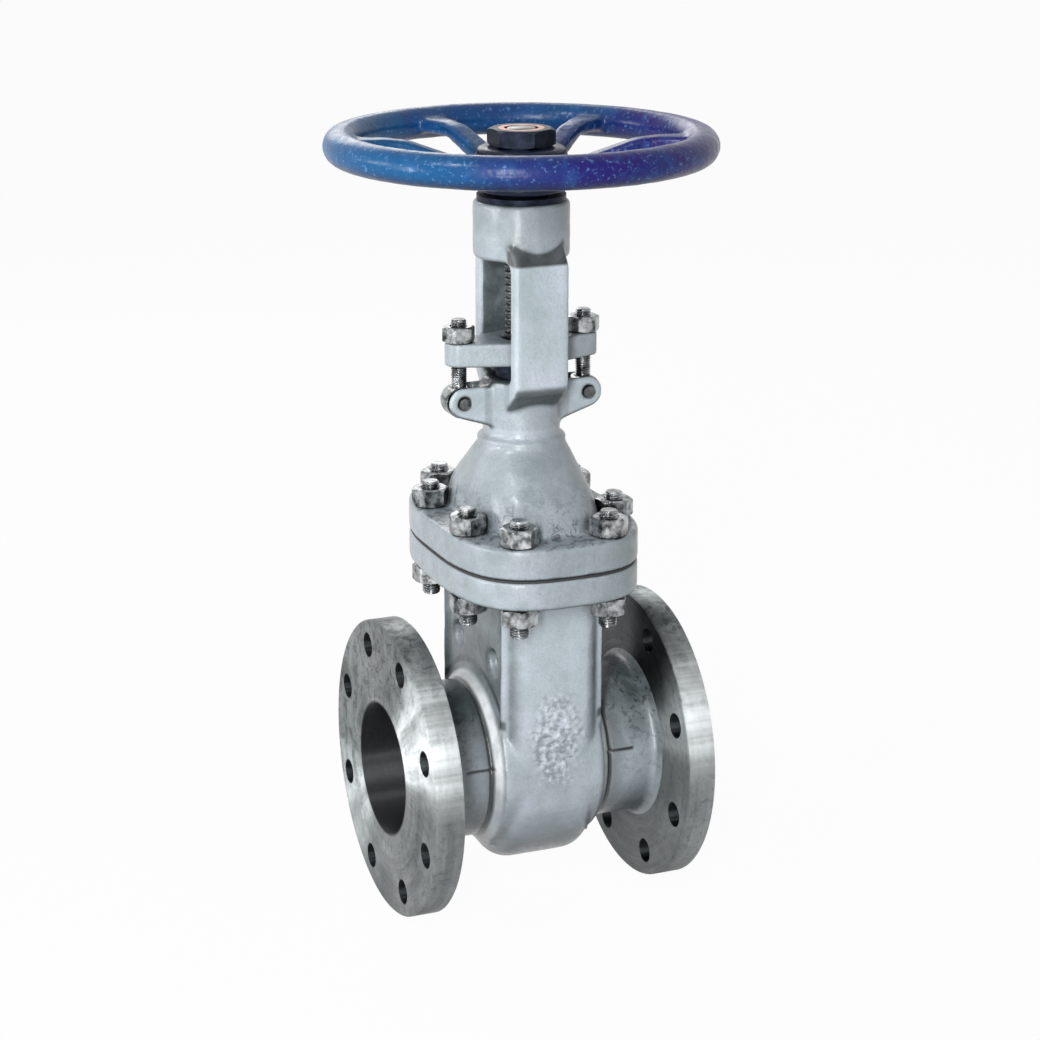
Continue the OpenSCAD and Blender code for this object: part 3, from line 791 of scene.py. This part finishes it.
def score_necks(co):
    """A groove in each neck's root, and a raised parting line on the necks' sides with a step under it."""
    out, z = abs(co[:, 0] - AXIS_X), co[:, 2]
    radius = np.hypot(co[:, 1], z)
    groove = -1.6 * MM * hump(out, ROOT_OUT, 2.0 * MM) * (z < NECK_TOP_Z)
    ridge, half, step = 0.9 * MM, 1.4 * MM, 2.4 * MM
    line = ridge * hump(z, PARTING_Z, half) - ridge * hump(z, PARTING_Z - step, half)
    reach = [PARTING_FROM - PARTING_FADE, PARTING_FROM, PARTING_TO, PARTING_TO + PARTING_FADE]
    along = np.interp(out, reach, [0, 1, 1, 0])
    lift = (groove + along * line) * (abs(radius - NECK_R) < 6 * MM)
    co[:, 1:] *= (1 + lift / np.maximum(radius, 1 * MM))[:, None]


def roughen_patches(co):
    """Roughens an oval in the middle of the chamber's near and far sides, which carry no lettering."""
    off = np.hypot((co[:, 0] - AXIS_X) / PATCH_WIDE, (co[:, 2] - PATCH_Z) / PATCH_TALL)
    share = np.interp(off, [0.6, 1.1], [1, 0]) * (abs(co[:, 1]) > CHAMBER_INNER_Y - 3 * MM)
    near = np.flatnonzero(share > 0.01)
    bumps = np.clip(rough(co[near], 250, 120, 0.3) * 2.5, -0.6, 0.8)
    co[near, 1] += np.sign(co[near, 1]) * share[near] * PATCH_RELIEF * bumps


def bead_dome(co):
    """The low bead round the top of the bonnet's dome."""
    radius = np.hypot(co[:, 0] - AXIS_X, co[:, 1])
    lift = 1.6 * MM * hump(co[:, 2], DOME_TOP - 8 * MM, 2.2 * MM) * (radius > 26 * MM)
    for axis, middle in ((0, AXIS_X), (1, 0)):
        co[:, axis] += (co[:, axis] - middle) * lift / np.maximum(radius, 1 * MM)


def thin_out(obj):
    """Thins a casting with a decimate modifier to about MOST_TRIANGLES triangles, where it has more.
    Brings a casting under the most triangles that a piece may have.
    """
    triangles = sum(len(p.vertices) - 2 for p in obj.data.polygons)
    thin = obj.modifiers.new("thin", "DECIMATE")
    thin.ratio = min(1.0, MOST_TRIANGLES / triangles)


def chamber_walls():
    """The chamber's inner walls and the floors under the seat rings, as the frame has them."""
    def is_wall(co):
        return inside_body(co) and abs(co.x - AXIS_X) < SEAT_FLOOR_X + 1 * MM

    bm = node_bmesh("body")
    outer = [f for f in bm.faces if not all(is_wall(v.co) for v in f.verts)]
    bmesh.ops.delete(bm, geom=outer, context="FACES")
    mesh = to_mesh("body_inner_walls", bm)
    dress(mesh, CAST_INNER)
    add_piece("body_inner_walls", mesh, "valve", ["body"])


def lathe_x(bm, profile, segments=128):
    """Turns a closed profile of (x, radius) points about the pipe's axis."""
    rings = []
    for i in range(segments):
        angle = 2 * math.pi * i / segments
        rings.append([bm.verts.new((x, r * math.cos(angle), r * math.sin(angle))) for x, r in profile])
    for ring, after in zip(rings, rings[1:] + rings[:1]):
        ring_faces(bm, ring, after)


def pipe_flange(name, x_back, keep):
    """A machined flange as the frame has it, with the bore's wall behind it down to the seat ring."""
    bm = node_bmesh("body")
    cut(bm, (x_back - keep * SEAM, 0, 0), (keep, 0, 0))
    bmesh.ops.bridge_loops(bm, edges=open_edges(bm))
    x_near, x_far = x_back - keep * WALL_START, x_back - keep * (SEAT_X - FLANGE_T)
    outer_r = NECK_R - 2 * MM
    lathe_x(bm, [(x_near, PORT_R), (x_far, PORT_R), (x_far, outer_r), (x_near, outer_r)])
    metal_piece(name, bm, TURNED, "valve", "body", sharp=SHARP_ANGLE)


# ---------------------------------------------------------------- threads and nuts


def ring_faces(bm, lower, upper):
    count = len(lower)
    for i in range(count):
        j = (i + 1) % count
        bm.faces.new((lower[i], lower[j], upper[j], upper[i]))


def fan(bm, ring, middle, up):
    top = bm.verts.new(middle)
    for i in range(len(ring)):
        pair = (ring[i], ring[(i + 1) % len(ring)])
        bm.faces.new((*(pair if up else reversed(pair)), top))


def screw(bm, x, y, low, high, radius, pitch, depth, flat=0.15, steps=6, segments=28):
    """Threaded rod up Z with chamfered ends. flat is the part of a turn that crest and root each take."""
    count = max(2, round((high - low) / pitch * steps))
    rings = []
    for j in range(count + 1):
        z = low + (high - low) * j / count
        ring = []
        for i in range(segments):
            angle = 2 * math.pi * i / segments
            turn = (z / pitch - i / segments) % 1
            ridge = min(max((abs(2 * turn - 1) - flat) / (1 - 2 * flat), 0), 1)
            r = radius - depth * (1 - ridge)
            r = min(r, radius - depth - 0.3 * MM + min(z - low, high - z))
            ring.append(bm.verts.new((x + r * math.cos(angle), y + r * math.sin(angle), z)))
        rings.append(ring)
    for lower, upper in zip(rings, rings[1:]):
        ring_faces(bm, lower, upper)
    fan(bm, rings[-1], (x, y, high), True)
    fan(bm, rings[0], (x, y, low), False)


def hex_nut(bm, x, y, low, width, height, bore, turn):
    """Hexagonal nut, chamfered to arcs on its flats and countersunk at both ends of its bore."""
    segments, rings = 72, [[] for _ in range(8)]
    flat = width / 2
    face_r, sink = 0.93 * flat, 1.0 * MM
    for i in range(segments):
        angle = 2 * math.pi * i / segments
        corner = flat / math.cos((angle + math.pi / 6) % (math.pi / 3) - math.pi / 6)
        drop = (corner - face_r) * 0.55
        outline = [(bore, sink), (bore + sink, 0), (face_r, 0), (corner, drop),
                   (corner, height - drop), (face_r, height), (bore + sink, height), (bore, height - sink)]
        cos, sin = math.cos(angle + turn), math.sin(angle + turn)
        for ring, (r, z) in zip(rings, outline):
            ring.append(bm.verts.new((x + r * cos, y + r * sin, low + z)))
    for ring, after in zip(rings, rings[1:] + rings[:1]):
        ring_faces(bm, ring, after)


def metal_piece(name, bm, material, body, replaced, sharp=FASTENER_SHARP_ANGLE):
    """The bmesh, with its faces turned outwards, becomes a named piece of one metal."""
    bmesh.ops.recalc_face_normals(bm, faces=bm.faces)
    mesh = to_mesh(name, bm)
    dress(mesh, material, sharp)
    add_piece(name, mesh, body, [replaced])


def bonnet_studs():
    rng = random.Random(4)
    for node in STUDS:
        low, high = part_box(node)
        x, y = (low.x + high.x) / 2, (low.y + high.y) / 2
        bm = bmesh.new()
        screw(bm, x, y, low.z, high.z, STUD_R, pitch=2 * MM, depth=1.1 * MM)
        for z in (BODY_FLANGE_LOW - NUT_H, BONNET_TOP):
            hex_nut(bm, x, y, z, NUT_WIDTH, NUT_H, STUD_R - 0.4 * MM, rng.uniform(0, math.pi / 3))
        metal_piece(node + "_threaded", bm, BRIGHT, "valve", node)


def eyebolts():
    """The swing bolts as the frame has them up to the thread, then the thread, and their nuts."""
    rng = random.Random(9)
    for end in ("inlet", "outlet"):
        node, nut = "eyebolt_" + end, "gland_nut_" + end
        x = centre(node).x
        low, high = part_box(nut)
        thread_low = low.z - 34 * MM
        bm = node_bmesh(node)
        cut(bm, (0, 0, thread_low), (0, 0, -1))
        bmesh.ops.holes_fill(bm, edges=open_edges(bm), sides=0)
        start, top = thread_low - 0.2 * MM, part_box(node)[1].z
        screw(bm, x, 0, start, top, EYEBOLT_R, pitch=1.75 * MM, depth=1.0 * MM)
        metal_piece(node + "_threaded", bm, BRIGHT, "valve", node)
        bm = bmesh.new()
        width, height = high.y - low.y, high.z - low.z
        hex_nut(bm, x, 0, low.z, width, height, EYEBOLT_R - 0.3 * MM, rng.uniform(0, math.pi / 3))
        metal_piece(nut + "_chamfered", bm, BRIGHT, "valve", nut)


def stem_thread():
    """The stem as the frame has it up to the thread, then one square-shouldered thread to its top."""
    bm = node_bmesh("stem")
    cut(bm, (0, 0, THREAD_LOW), (0, 0, -1))
    bmesh.ops.holes_fill(bm, edges=open_edges(bm), sides=0)
    start, top = THREAD_LOW - 0.2 * MM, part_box("stem")[1].z
    screw(bm, AXIS_X, 0, start, top, STEM_R, STEM_PITCH, depth=2.2 * MM, flat=0.3, steps=10, segments=48)
    metal_piece("stem_threaded", bm, OILY, "stem", "stem")


# ---------------------------------------------------------------- the pieces

bonnet = casting("bonnet_casting", node_bmesh("bonnet"), CAST_BONNET, "valve", "bonnet",
                 voxel=1.3 * MM, steps=14, weight=bonnet_weight, dent=0.22 * MM)
displace(bonnet.data, bead_dome)
thin_out(bonnet)
body = casting("body_casting", body_middle(), CAST_BODY, "valve", "body",
               voxel=1.4 * MM, steps=12, weight=body_weight, dent=0.22 * MM)
open_core(body.data)
displace(body.data, score_necks, roughen_patches)
thin_out(body)
chamber_walls()
casting("handwheel_casting", node_bmesh("handwheel"), BLUE, "handwheel", "handwheel",
        voxel=1.3 * MM, steps=16, weight=everywhere(0.6), dent=0.25 * MM)
casting("gland_casting", node_bmesh("gland_flange"), CAST_GLAND, "valve", "gland_flange",
        voxel=0.9 * MM, steps=10, weight=everywhere(0.5), dent=0.15 * MM)
pipe_flange("inlet_flange", FLANGE_T, keep=-1)
pipe_flange("outlet_flange", PIPE_LENGTH - FLANGE_T, keep=1)
bonnet_studs()
eyebolts()
stem_thread()

# ---------------------------------------------------------------- camera, light and floor

LENS = 89.29
CAMERA_AT = (-0.5954, -1.7377, 0.7581)
CAMERA_AIM = (0.11344, 0, 0.1857)
LAMP_AIM = (0.11, 0, 0.15)
HIGH_AIM = (0.11, 0, 0.2)
FLOOR_HALF = 30
FLOOR_GLOW = 0.96


def turn_towards(obj, target):
    obj.rotation_euler = (Vector(target) - obj.location).to_track_quat("-Z", "Y").to_euler()


def camera():
    data = bpy.data.cameras.new("camera")
    data.sensor_width = 36
    data.lens = LENS
    cam = bpy.data.objects.new("camera", data)
    bpy.context.scene.collection.objects.link(cam)
    cam.location = CAMERA_AT
    turn_towards(cam, CAMERA_AIM)
    bpy.context.scene.camera = cam


def soft_box(name, place, aim, width, height, power):
    data = bpy.data.lights.new(name, "AREA")
    data.shape = "RECTANGLE"
    data.size = width
    data.size_y = height
    data.energy = power
    lamp = bpy.data.objects.new(name, data)
    bpy.context.scene.collection.objects.link(lamp)
    lamp.location = place
    turn_towards(lamp, aim)


def white_to_lens(tree):
    """Factor that is 1 for rays from the lens, or off or through shiny things."""
    path = tree.nodes.new("ShaderNodeLightPath")
    total = path.outputs["Is Camera Ray"]
    for other in ("Is Glossy Ray", "Is Transmission Ray"):
        add = tree.nodes.new("ShaderNodeMath")
        add.operation = "MAXIMUM"
        tree.links.new(total, add.inputs[0])
        tree.links.new(path.outputs[other], add.inputs[1])
        total = add.outputs[0]
    return total


def mix_to_output(tree, kind, factor, lit, seen):
    """The output shows lit where factor is 0 and seen where it is 1."""
    out, mix = tree.nodes.new(kind), tree.nodes.new("ShaderNodeMixShader")
    tree.links.new(factor, mix.inputs[0])
    tree.links.new(lit.outputs[0], mix.inputs[1])
    tree.links.new(seen.outputs[0], mix.inputs[2])
    tree.links.new(mix.outputs[0], out.inputs[0])


def world(level):
    """A dim even light on the object, and white behind it."""
    w = bpy.data.worlds.new("studio")
    bpy.context.scene.world = w
    w.use_nodes = True
    tree = w.node_tree
    tree.nodes.clear()
    lit, seen = tree.nodes.new("ShaderNodeBackground"), tree.nodes.new("ShaderNodeBackground")
    lit.inputs[0].default_value = rgb(0.96, 0.98, 1.0)
    lit.inputs[1].default_value = level
    seen.inputs[0].default_value = rgb(1, 1, 1)
    mix_to_output(tree, "ShaderNodeOutputWorld", white_to_lens(tree), lit, seen)


def floor(z):
    """A white floor, nearly as bright as the background, that keeps a faint shadow."""
    h = FLOOR_HALF
    mesh = bpy.data.meshes.new("floor")
    mesh.from_pydata([(-h, -h, z), (h, -h, z), (h, h, z), (-h, h, z)], [], [(0, 1, 2, 3)])
    obj = bpy.data.objects.new("floor", mesh)
    bpy.context.scene.collection.objects.link(obj)
    mat = bpy.data.materials.new("floor_white")
    mat.use_nodes = True
    tree = mat.node_tree
    tree.nodes.clear()
    matt, glow = tree.nodes.new("ShaderNodeBsdfDiffuse"), tree.nodes.new("ShaderNodeEmission")
    matt.inputs[0].default_value = rgb(0.8, 0.8, 0.8)
    glow.inputs[0].default_value = rgb(1, 1, 1)
    gate = tree.nodes.new("ShaderNodeMath")
    gate.operation = "MULTIPLY"
    gate.inputs[1].default_value = FLOOR_GLOW
    tree.links.new(white_to_lens(tree), gate.inputs[0])
    mix_to_output(tree, "ShaderNodeOutputMaterial", gate.outputs[0], matt, glow)
    mesh.materials.append(mat)


camera()
world(0.10)
floor(cad_box[0].z - 0.2 * MM)
soft_box("key", (-1.08, -1.95, 1.05), LAMP_AIM, 0.3, 1.2, 40)
soft_box("low", (-1.1, -2.05, 0.02), LAMP_AIM, 0.5, 0.22, 14)
soft_box("top", (-1.2, -0.5, 1.95), LAMP_AIM, 0.22, 0.22, 12)
soft_box("left", (-2.2, -0.12, 0.45), LAMP_AIM, 0.16, 0.7, 14)
soft_box("glint", (-2.0, 0.75, 0.85), HIGH_AIM, 0.4, 0.4, 8)
soft_box("back", (0.3, 2.0, 1.3), HIGH_AIM, 1.2, 1.0, 10)

bpy.context.scene.view_settings.view_transform = "Standard"
